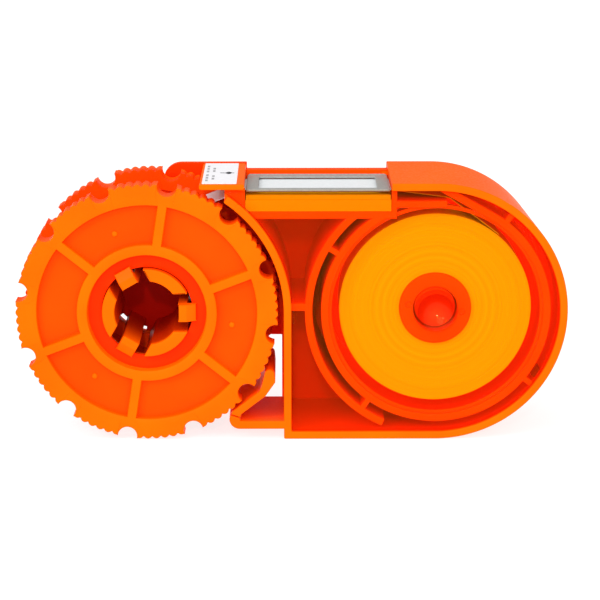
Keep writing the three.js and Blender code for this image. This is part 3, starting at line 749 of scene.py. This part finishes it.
# the guard round the reel ends in two tongues, with the tape's gate between them
tongue = softened(sector(reelAt, h["guardInner"], h["guardOuter"], h["gate"] - 0.3, h["guardEnd"], 1.2), 0.4)
tongues = [plate(tongue, near, far, 0.28) for near, far in ((0.01, 6.4), (23.8, plateFrom + 0.5))]
# painted shade by depth on the tongues
orangePiece("housingRim", together(rimPart, *[paintShadeByDepth(part, 0.35, 6, 1.2) for part in tongues]))

# Ring wall round the roll, with the straight guide that the tape leaves along
foot = polar(rollAt, (h["ringInner"] + h["ringOuter"]) / 2, h["leave"])
head = foot + polar((0, 0), h["guide"], h["leave"] + 90)
side = polar((0, 0), wall / 2, h["leave"])
ringRuns = [arc(rollAt, h["ringOuter"], 116, 360 + h["leave"], 2), head + side, head - side,
            arc(rollAt, h["ringInner"], 360 + h["leave"], 116, 2)]
wallFrom, wallTo = h["innerFrom"], plateFrom + 0.5
outerRing = sector(rollAt, arcInner, lobeOuter - 0.02, 128, 246, 2)
inside = [plate(softened(shape, 0.4), wallFrom, wallTo, 0.3) for shape in (outlineOf(*ringRuns), outerRing)]
ribs = [bar(rollAt, 1.6, h["ringOuter"] - 0.6, arcInner + 1, at) for at in (149, 234, -38, 53)]
ribs.append(rect(h["right"] - 0.5, rollAt[1] + 0.2, rollAt[0] - lobeOuter + 0.6, rollAt[1] + 2.4))
inside += [plate(shape, wallFrom + 0.02, wallTo, 0.25) for shape in ribs]
inside.append(plate(rect(h["hoodLeft"] + 1, 69.2, 44.9, 71.2), wallFrom + 0.02, wallTo, 0.3))  # the tape's guide
# painted shade by depth on the inner walls, rising into a painted red glow
inside = [paintShadeByDepth(drafted(part), wallFrom + 0.3, 3, 2.6) for part in inside]
for part in inside:  # in the left bay the walls only get painted shade, no painted red glow
    x, _, z = part["points"].T
    leftBay = (x <= rollAt[0]) & (np.hypot(x - rollAt[0], z - rollAt[1]) >= 32.5)
    part["tone"] = np.where(leftBay, np.minimum(part["tone"], 1.7), part["tone"])
# thin lip on the ring wall's inner side, round the edge of the roll
lip, foot = h["lip"], h["ringInner"] + 0.2
lipRing = turned(rollAt, line((lip, 3.6), (lip, 3.3), (lip + 0.2, 3.1), (foot, 3.1), (foot, 3.6)))
orangePiece("housingInnerWalls", together(*inside, lipRing))

# Floor of the channel between the ring wall and the rim, a skin on the back plate that carries painted shade and a
# painted red glow
channelShape = sector(rollAt, h["ringOuter"] - 0.5, lobeOuter - 1, -88, 88, 2)
channel = drafted(plate(channelShape, plateFrom - 0.12, plateFrom + 0.4, 0.05))
channel["tone"] = np.full(len(channel["points"]), 2.6)
orangePiece("channelFloor", channel)

# Raised round floor behind the roll, with the post that the core turns on
floorPart = plate(circle(rollAt, h["ringOuter"] - 0.4), h["bayFloor"], h["bayFloor"] + wall, 0.2)
postTop = 7.6
post = plate(circle(rollAt, 6.1, 4), postTop, h["bayFloor"] + 0.6, 0.4)
# painted shade by depth on the floor and post, rising into a painted red glow
orangePiece("rollBayFloor", paintShadeByDepth(together(floorPart, post), postTop + 0.5, 12, 2.5))

# Back plate: a disc behind the reel, the shoulder above it and the round end, open behind pawl, hooks and bay
backShape = {"disc": 31.6, "shoulder": 3.5, "corner": 5.5, "pawlTop": 22.8}
b = backShape
left = reelAt[0] + b["shoulder"]
meet = reelAt[1] + math.sqrt(b["disc"] ** 2 - b["shoulder"] ** 2)
rightTurn = math.degrees(math.asin((b["pawlTop"] - reelAt[1]) / b["disc"]))
plateRuns = [
    line((left, hoodTop - b["corner"])),
    arc(reelAt, b["disc"], math.degrees(math.asin((meet - reelAt[1]) / b["disc"])), 360 + rightTurn),
    line((h["left"] - 0.6, b["pawlTop"]), (h["left"] - 0.6, z0 + 0.02), (rollAt[0], z0 + 0.02)),
    arc(rollAt, lobeOuter - 0.02, -90, 90),
    line((h["hoodLeft"], hoodTop - 0.02), (h["hoodLeft"], hoodTop - 2), (-13.5, hoodTop - 2), (-13.5, hoodTop)),
    arc((left + b["corner"], hoodTop - b["corner"]), b["corner"], 90, 180, 10),
]
backHoles = [*hookWindows, circle(rollAt, h["ringInner"])]
backPart = drafted(plate(softened(outlineOf(*plateRuns), 0.3), plateFrom, backFace, 0.2, backHoles))
# painted shade on the back plate's front face
backPart["tone"] = 1.6 * (backPart["points"][:, 1] < backFace - 0.3)
orangePiece("backPlate", backPart)
print("housing made")

# Pocket below the window: end wall, floor, left post and the deck behind
pocketShape = {
    "floor": 68.15, "shelf": 66.0, "left": -13.5, "post": -19.4, "postTo": 6.0, "back": 26.7, "thick": 1.6,
    "deck": hoodTop - 2.0, "rail": 75.9, "sill": 70.4,
}
k = pocketShape
reach = h["guardInner"] + 0.05
shelf, sill, deck, back, hoodLeft = k["shelf"], k["sill"], k["deck"], k["back"], h["hoodLeft"]


def guardTurn(z):  # where the guard's inner side is at height z, in degrees round the reel
    return math.degrees(math.asin((z - reelAt[1]) / reach))


postOutline = outlineOf(arc(reelAt, reach, guardTurn(shelf), h["guardEnd"] - 0.5),
                        line((k["post"], deck - 0.2), (k["left"], deck - 0.2), (k["left"], shelf)))
sillOutline = outlineOf(arc(reelAt, reach, guardTurn(shelf), guardTurn(sill)),
                        line((k["left"], sill), (k["left"], shelf)))
pocket = [
    plate(rect(hoodLeft + 0.02, shelf, hoodLeft + k["thick"], hoodTop - wall + 0.1), wallFrom, wallTo, 0.25),
    plate(rect(-12.2, shelf, hoodLeft + 1, k["floor"]), wallFrom + 0.02, wallTo, 0.3),
    plate(postOutline[::-1], wallFrom, k["postTo"], 0.3),
    plate(sillOutline[::-1], wallFrom + 0.02, wallTo, 0.3),
    plate(rect(k["post"], deck - wall, hoodLeft + 1, deck - 0.8), back + 0.02, wallTo, 0.25),
]
# painted shade by depth in the pocket
pocket = [paintShadeByDepth(part, wallFrom + 0.3, 8, 1.2) for part in pocket]
rail = plate(rect(k["left"], k["floor"] - 1, hoodLeft + 1, k["rail"]), back, back + k["thick"], 0.2)
# painted shade on the rail
rail["tone"] = np.full(len(rail["points"]), 0.9)
tab = plate(rect(hoodLeft - 1.8, deck - 0.6, hoodLeft + 0.1, k["rail"] - 0.6), back - 0.25, back + 0.3, 0.1)
orangePiece("windowPocket", together(*pocket, rail, tab))

# Fixed foot of the pawl and the springy arm on it
pawlSpan = spanOf("pawl_arm")
footRight = h["left"] + 0.5
footRun = line((footRight, 3.1), (footRight, 5.5), (-15.2, 5.5), (-15.4, 6.4), (-18.1, 7.3), (-18.5, 6.1))
footShape = outlineOf(footRun, arc((-15.5, 6.1), 3.0, 180, 270, 10))
# painted shade by depth on the foot
pawlFoot = paintShadeByDepth(plate(softened(footShape, 0.3), 0, pawlSpan[1][1], 0.25), 0.4, 6, 1.2)
orangePiece("pawlFoot", pawlFoot)
armShape = outlineOf(line((-18.0, 7.65), (-15.2, 6.7), (-15.0, 7.6), (-7.8, 13.2), (-4.9, 17.4)),
                     arc((-6.6, 19.7), 1.5, 0, 180, 15),
                     line((-8.1, 19.6), (-8.9, 16.4), (-9.6, 14.6), (-17.6, 8.4)))
# painted shade by depth on the arm
pawlArm = paintShadeByDepth(plate(softened(armShape, 0.5), 0, pawlSpan[1][1], 0.25), 0.4, 6, 1.2)
orangePiece("pawlArm", pawlArm, "pawl", "pawl_arm")
print("pocket and pawl made")


coverShape = {
    "clear": 0.25, "near": 0.4, "thick": 1.4, "rounding": 0.2, "dimple": 5.7, "dimpleDepth": 3.9, "clipTo": 8,
}


def dimpleRows(spec, near, far):  # rings of the pit, a bowl: its depth grows with 1 - (share of its radius)^2
    r = np.linspace(1, 0.06, 15)
    bowl = 1 - r ** 2
    front = np.stack([spec["dimple"] * r, near + (spec["dimpleDepth"] - near) * bowl], 1)
    back = np.stack([(spec["dimple"] + 1.0) * r, far + (spec["dimpleDepth"] + 1.3 - far) * bowl], 1)
    return front, back


# The sheet is flat, with a round pit pressed in over the core; both faces of the pit close in their middle
def clearSheet(spec):
    top = hoodTop - wall - spec["clear"]
    reach = h["guardOuter"] + spec["clear"]
    turn = math.degrees(math.asin((top - reelAt[1]) / reach))
    outline = outlineOf(arc(rollAt, arcInner - spec["clear"], -90, 90, 1.5), arc(reelAt, reach, turn, 0, 1.5),
                        line((h["right"] + spec["clear"], z0 + wall + spec["clear"])))
    outline = softened(outline, 0.5)
    near, far = spec["near"], spec["near"] + spec["thick"]
    rows, edgePoints = sideRows(outline, near, far, spec["rounding"], 3)
    frontRows, backRows = dimpleRows(spec, near, far)
    columns = 96
    frontPit = cap(rollAt, frontRows, columns, front=True)
    backPit = cap(rollAt, backRows, columns, front=False)
    n, count = len(outline), len(edgePoints)
    frontStart, backStart = count, count + len(frontPit["points"])
    ringOf = lambda pit: pit["points"][:columns][:, [0, 2]]
    frontCap = capFaces([rows[0], ringOf(frontPit)[::-1]], [0, frontStart], True)
    backCap = capFaces([rows[-1], ringOf(backPit)[::-1]], [(len(rows) - 1) * n, backStart], False)
    # the holes were listed clockwise, so their indices are mirrored back
    frontCap = np.where(frontCap >= frontStart, frontStart + columns - 1 - (frontCap - frontStart), frontCap)
    backCap = np.where(backCap >= backStart, backStart + columns - 1 - (backCap - backStart), backCap)
    for pit in (frontPit, backPit):
        pit["tone"] = 1.0 * (np.arange(len(pit["points"])) >= columns)  # painted shade in the pit: its tint darker than the sheet's, and glossier
    whole = together(body(edgePoints, gridFaces(len(rows), n)), frontPit, backPit)
    whole["tris"] = np.concatenate([whole["tris"], frontCap, backCap])
    return whole


makePiece("clearCover", clearSheet(coverShape), clear, "frame", ["front_cover"])
clipShapes = [softened(bar(rollAt, 3.0, 34.4, 35.4, at), 0.15) for at in (47, -32)]
clipShapes.append(rect(h["right"] + 0.3, 34.8, h["right"] + 1.3, 37.8))
clips = [plate(shape, coverShape["near"] + 1.45, coverShape["clipTo"], 0.15) for shape in clipShapes]
makePiece("coverClips", together(*clips), clipRed, "frame", ["front_cover"])
print("cover made")


# What lies on top
blockSpan, padSpan, windowSpan = spanOf("platen_block"), spanOf("foam_pad"), spanOf("window_frame")
low, high = blockSpan
blockOutline = rect(low[0] - 0.24, low[2] - 0.24, high[0] + 0.24, high[2] + 0.06)
block = plate(softened(blockOutline, 0.3), low[1], high[1], 0.12)
makePiece("platenBlock", block, blockWhite, "frame", ["platen_block"])


# Foam pad on a grid of its own: its top falls off towards the edges by 1 - (1 - ring)^2 and is a little uneven
def foamBlock(low, high):
    u, v = np.meshgrid(np.linspace(0, 1, 60), np.linspace(0, 1, 30))
    ring = np.minimum(np.minimum(u, 1 - u) * 20, np.minimum(v, 1 - v) * 12).clip(0, 1)
    rise = 1 - (1 - ring) ** 2
    dents = 0.03 * np.sin(u * 71) * np.sin(v * 39)
    x, d = low[0] + u * (high[0] - low[0]), low[1] + v * (high[1] - low[1])
    top = np.stack([x, d, high[2] - 0.25 + rise * (0.25 - 0.04 + dents)], -1)
    bottom = np.stack([x, d, np.full_like(x, low[2])], -1)
    rows, columns = x.shape
    points = np.concatenate([top.reshape(-1, 3), bottom.reshape(-1, 3)])
    i, j = np.meshgrid(np.arange(rows - 1), np.arange(columns - 1), indexing="ij")
    a = (i * columns + j).ravel()
    upper = np.stack([a, a + 1, a + columns + 1, a + columns], 1)
    half = rows * columns
    lower = upper[:, ::-1] + half
    right, left = np.arange(2, rows + 1) * columns - 1, np.arange(rows - 2, 0, -1) * columns
    edge = np.concatenate([np.arange(columns), right, (rows - 1) * columns + np.arange(columns - 2, -1, -1), left])
    after = np.roll(edge, -1)
    sides = np.stack([after, edge, edge + half, after + half], 1)
    return body(points, np.concatenate([upper, lower, sides]))


pad = makePiece("foamPad", foamBlock(padSpan[0], padSpan[1]), foamWhite, "frame", ["foam_pad"])

# Grey window: a sheet whose ends curve down, as an outline in x-z carried back, with its opening in the middle
windowLook = {"open": (-9.7, 24.8), "openDepth": (4.6, 22.4), "thick": 0.65, "curl": 0.5}
w0, w1 = windowSpan


def windowSheet(spec):
    left, right = w0[0], w1[0]
    x0, x1 = spec["open"]
    d0, d1 = spec["openDepth"]
    top = w1[2]
    e = 0.16
    # rings round the opening: (inset from the outer edge or growth from the opening, height)
    outer = softened(rect(left, w0[1], right, w1[1]), 1.2, 6)
    hole = softened(rect(x0, d0, x1, d1), 1.2, 5)
    part = plate(outer, 0, spec["thick"], e, [hole])
    p = part["points"]
    x, d, z = p[:, 0], p[:, 2], top - p[:, 1]
    ends = np.minimum(x - left, right - x)
    drop = spec["curl"] * np.clip(1 - ends / 0.9, 0, 1) ** 2
    return {**part, "points": np.stack([x, d, z - drop], 1)}


makePiece("windowFrame", windowSheet(windowLook), greyPlastic, "frame", ["window_frame"])

# Tape from the roll to the drum: one thin strip along its path
tapeSpan = spanOf("tape_run")
tapeLevel = float(windowSpan[0][2]) + 0.2 - 0.3 - 0.125
tapePath = np.concatenate([
    [polar(rollAt, 28.62, 50), polar(rollAt, 28.62, 53)],
    [(46.2, 71.1), (45.0, 71.45), (44.0, 71.6), (29.0, tapeLevel - 0.05)],
    [(27.6, tapeLevel), (-13.4, tapeLevel), (-14.4, tapeLevel - 0.15)],
    [polar(reelAt, 21.85, at) for at in (112.6, 116, 120)]])
strip = plate(stripOutline(tapePath, 0.25), tapeSpan[0][1], tapeSpan[1][1], 0.04, steps=1)
makePiece("tapeRun", strip, tapeWhite, "frame", ["tape_run"], even=False)

# Bridge over the tape, with its label
bridgeSpan, labelSpan = spanOf("bridge_plate"), spanOf("direction_label")
bLow, bHigh = bridgeSpan
bridgeTop = hoodTop - 0.16
across = softened(rect(bLow[0], hoodTop - 1.8, bHigh[0], bridgeTop), 0.7, 5)
downward = softened(rect(bLow[0], bLow[2], bLow[0] + 7, hoodTop - 0.7), 0.4)
bridge = [plate(across, bLow[1], bHigh[1], 0.3), plate(downward, bHigh[1] - 1.8, bHigh[1] - 0.02, 0.25)]
orangePiece("bridgePlate", together(*bridge), node="bridge_plate")


def sheetOnTop(outline, thick, top):  # a thin sheet lying flat: outline (x, depth), upper face at height top
    part = plate(outline, 0, thick, 0.04, steps=1)
    p = part["points"]
    return {**part, "points": np.stack([p[:, 0], p[:, 2], top - p[:, 1]], 1)}


label = sheetOnTop(softened(rect(*labelSpan[0][:2], *labelSpan[1][:2]), 0.5), 0.14, hoodTop - 0.04)
makePiece("directionLabel", label, labelPaper, "frame", ["direction_label"], even=False)

# Printed arrow on the label: a thin line with a leaf-shaped head
arrow = {"from": -21.0, "to": -16.9, "at": 17.4, "line": 0.35, "headFrom": -19.5, "headTo": -17.5, "head": 3.4}
s = np.linspace(0, 1, 13)
leafX = arrow["headFrom"] + s * (arrow["headTo"] - arrow["headFrom"])
leafD = arrow["head"] / 2 * np.sin(math.pi * s)
leaf = outlineOf(np.stack([leafX, arrow["at"] - leafD], 1), np.stack([leafX, arrow["at"] + leafD], 1)[::-1])
stroke = rect(arrow["from"], arrow["at"] - arrow["line"], arrow["to"], arrow["at"] + arrow["line"])
marks = [sheetOnTop(shape, 0.02, hoodTop - 0.02) for shape in (leaf, stroke)]
makePiece("labelArrow", together(*marks), labelInk, "frame", ["direction_label"], even=False)
# two rows of plain dashes beside it
dashRows = {-24.7: (4.5, 8.5, 12.5, 18.5, 22.5, 26.5), -22.9: (7, 11, 19, 23)}
dashes = [rect(x - 0.35, d, x + 0.35, d + 2.6) for x, starts in dashRows.items() for d in starts]
dashes = together(*[sheetOnTop(shape, 0.02, hoodTop - 0.02) for shape in dashes])
makePiece("labelDashes", dashes, labelGrey, "frame", ["direction_label"], even=False)
print("top made")

# CAD nodes that keep their shape and get a finish of their own
for name, material in (("drag_washer", feltGrey), ("leader_clip", clipGrey)):
    frame["nodes"][name].data.materials.clear()
    frame["nodes"][name].data.materials.append(material)


# Floor, light and camera
floorMesh = bpy.data.meshes.new("floor")
floorMesh.from_pydata([(-3, -3, 0), (3, -3, 0), (3, 3, 0), (-3, 3, 0)], [], [(0, 1, 2, 3)])
floor = bpy.data.objects.new("floor", floorMesh)
scene.collection.objects.link(floor)
floor.location.z = -0.0002
floorWhite, nodes, shader = newMaterial("floorWhite")
speck = noiseOn(nodes, 30, 3)
tint = rampOf(nodes, (0.3, (0.29, 0.29, 0.29)), (0.7, (0.32, 0.32, 0.32)))
join(speck, "Fac", tint, "Fac")
join(tint, "Color", shader, "Base Color")
setInputs(shader, {"Roughness": 0.9, "Specular IOR Level": 0.0})
setInputs(shader, {"Emission Color": (1, 1, 1, 1), "Emission Strength": 0.78})
floorMesh.materials.append(floorWhite)

studio = {
    "front": 1.75, "behind": 0.35, "key": 2.0, "small": 1.2, "lens": 123.84,
    "turn": 0.4, "elevation": 14.2, "distance": 0.6, "target": (0.00234, 0.0424),
}
# The surroundings are bright in front of the cassette and dimmer behind it
world = bpy.data.worlds.new("studio")
scene.world = world
world.use_nodes = True
nodes = world.node_tree.nodes
coords = addNode(nodes, "ShaderNodeTexCoord")
parts = addNode(nodes, "ShaderNodeSeparateXYZ")
join(coords, "Generated", parts, "Vector")
level = addNode(nodes, "ShaderNodeMapRange")
setInputs(level, {"From Min": -1, "From Max": 1, "To Min": studio["front"], "To Max": studio["behind"]})
join(parts, "Y", level, "Value")
join(level, "Result", nodes["Background"], "Strength")
nodes["Background"].inputs["Color"].default_value = (1, 1, 1, 1)


def softLight(name, place, aim, size, power):
    lamp = bpy.data.lights.new(name, "AREA")
    lamp.shape, lamp.size, lamp.energy = "DISK", size, power
    light = bpy.data.objects.new(name, lamp)
    scene.collection.objects.link(light)
    light.location = place
    light.rotation_euler = (Vector(aim) - Vector(place)).to_track_quat("-Z", "Y").to_euler()


softLight("keyLight", (-0.35, -0.7, 0.9), (0, 0, 0.04), 0.7, studio["key"])
dimpleAt = np.array([rollAt[0], frontY, rollAt[1]]) / 1000
for name, way in (("smallLightA", (-0.08, -0.9, 0.42)), ("smallLightB", (-0.645, -0.584, 0.501))):
    softLight(name, dimpleAt + 0.9 * np.array(way), dimpleAt, 0.03, studio["small"])

target = Vector((studio["target"][0], frontY * 0.001, studio["target"][1]))
tilt, turn = math.radians(studio["elevation"]), math.radians(studio["turn"])
camera = bpy.data.objects.new("camera", bpy.data.cameras.new("camera"))
scene.collection.objects.link(camera)
camera.data.lens, camera.data.sensor_width = studio["lens"], 36
towards = Vector((-math.sin(turn) * math.cos(tilt), -math.cos(turn) * math.cos(tilt), math.sin(tilt)))
camera.location = target + towards * studio["distance"]
camera.rotation_euler = (target - camera.location).to_track_quat("-Z", "Y").to_euler()
camera.data.clip_start, camera.data.clip_end = 0.01, 20
scene.camera = camera
scene.view_settings.view_transform = "Standard"
print("studio ready")
